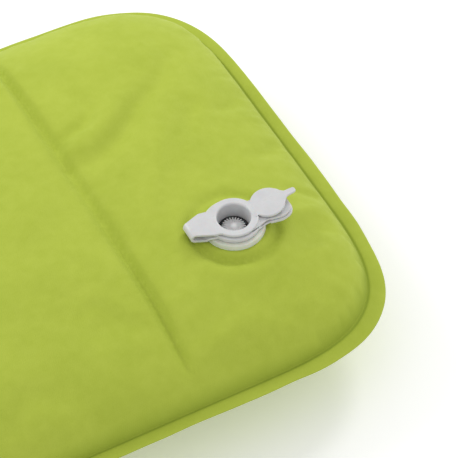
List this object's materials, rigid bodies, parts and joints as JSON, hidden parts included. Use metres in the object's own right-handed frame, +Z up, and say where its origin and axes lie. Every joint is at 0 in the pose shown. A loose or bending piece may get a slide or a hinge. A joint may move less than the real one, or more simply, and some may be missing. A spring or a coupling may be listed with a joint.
{
  "type": "inflatable camp pillow",
  "caption": "Softly inflated fabric camp pillow with a welded edge, inner baffles and a flat valve with a flip-open cap near one corner.",
  "frame": {"origin": "middle of the base, on the surface that the pillow lies on", "axes": "+X along the long side towards the valve's end, +Y along the short side away from the valve's corner, +Z up"},
  "size_m": [0.3881, 0.288, 0.0837],
  "materials": {
    "shell_fabric": "brushed polyester knit laminated to an airtight film",
    "baffle_film": "translucent airtight film",
    "valve_soft": "satin, soft grey moulding",
    "valve_base": "satin, slightly translucent",
    "valve_insert": "satin, light grey",
    "silicone": "translucent silicone"
  },
  "bodies": {
    "pillow": {"top_panel": "shell_fabric", "bottom_panel": "shell_fabric", "baffle_left": "baffle_film", "baffle_right": "baffle_film", "valve_base": "valve_base"},
    "ring": {"strap_ring": "valve_soft", "hinge_loop": "valve_soft"},
    "plate": {"port_plate": "valve_soft", "port_tube": "valve_soft", "valve_seat": "valve_insert", "cap_hinge_web": "valve_soft"},
    "button": {"valve_button": "valve_insert", "valve_diaphragm": "silicone"},
    "lid": {"cap": "valve_soft"}
  },
  "joints": [
    {"name": "valve_swivel", "type": "hinge", "parent": "pillow", "child": "ring", "pos_m": [0.1205, -0.0635, 0.077], "axis": [0, 0, 1], "continuous": true},
    {"name": "plug_lift", "type": "hinge", "parent": "ring", "child": "plate", "pos_m": [0.0974, -0.0635, 0.0781], "axis": [0, -1, 0], "range_deg": [0, 165], "deforming": ["hinge_loop"]},
    {"name": "cap_flip", "type": "hinge", "parent": "plate", "child": "lid", "pos_m": [0.1305, -0.0635, 0.08103], "axis": [0, -1, 0], "range_deg": [0, 174], "deforming": ["cap_hinge_web"]},
    {"name": "button_press", "type": "slide", "parent": "plate", "child": "button", "axis": [0, 0, -1], "range_m": [0, 0.001], "stiffness_N_per_m": 400}
  ]
}
